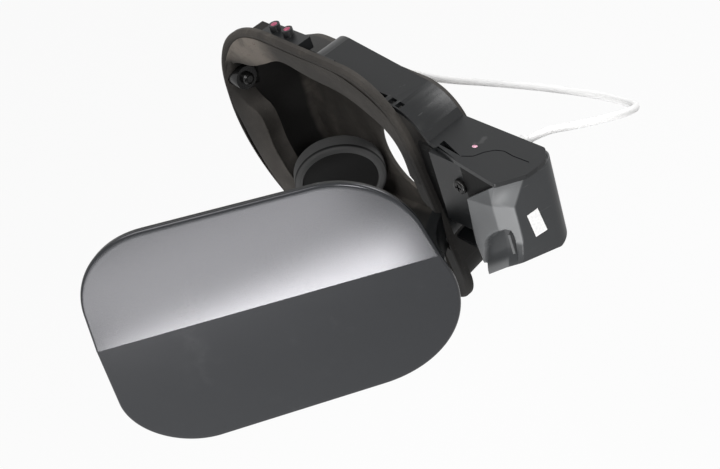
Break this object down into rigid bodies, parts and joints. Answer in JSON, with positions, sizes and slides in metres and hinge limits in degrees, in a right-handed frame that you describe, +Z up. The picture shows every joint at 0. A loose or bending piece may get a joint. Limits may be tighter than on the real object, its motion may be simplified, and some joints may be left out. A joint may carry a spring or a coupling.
{
  "type": "fuel filler flap unit",
  "caption": "Painted fuel filler flap with a creased face on a gooseneck hinge arm, soft bowl with a neck hole, hinge box, loose filler cap and release cable.",
  "frame": {"origin": "centre of the filler neck hole on the floor of the bowl", "axes": "+X towards the hinge end of the flap, +Y inward into the car, +Z up, nearly along the hinge axis"},
  "size_m": [0.2579, 0.2875, 0.1722],
  "materials": {
    "flap_paint": "glossy dark grey paint",
    "flap_inner": "satin black",
    "bowl_rubber": "dusty matte",
    "carrier_plastic": "satin black",
    "cover_plastic": "satin grey",
    "steel": "plain steel",
    "lock_plastic": "glossy black",
    "cap_plastic": "fine matte",
    "seal_rubber": "matte",
    "cable_sleeve": "smooth white"
  },
  "bodies": {
    "unit": {"bowl": "bowl_rubber", "carrier": "carrier_plastic", "hinge_box_cover": "cover_plastic", "cover_screw": "steel", "hinge_pin": "steel", "hinge_spring": "steel", "lock_housing": "lock_plastic", "clip_block": "carrier_plastic", "cap_shell": "cap_plastic", "cap_neck": "cap_plastic", "cap_seal": "seal_rubber", "release_cable": "cable_sleeve", "cable_ferrules": "lock_plastic"},
    "flap": {"flap_skin": "flap_paint", "flap_inner": "flap_inner", "hinge_arm": "carrier_plastic", "arm_screws": "steel", "striker": "lock_plastic", "flap_buffers": "seal_rubber"},
    "lock": {"lock_pin": "lock_plastic"}
  },
  "joints": [
    {"name": "flap_hinge", "type": "hinge", "parent": "unit", "child": "flap", "pos_m": [0.1144, -0.0337, 0.039], "axis": [0.0358, -0.0422, 0.9985], "range_deg": [-50.15, 18]},
    {"name": "lock_slide", "type": "slide", "parent": "unit", "child": "lock", "axis": [1, 0, 0], "range_m": [0, 0.008]}
  ]
}
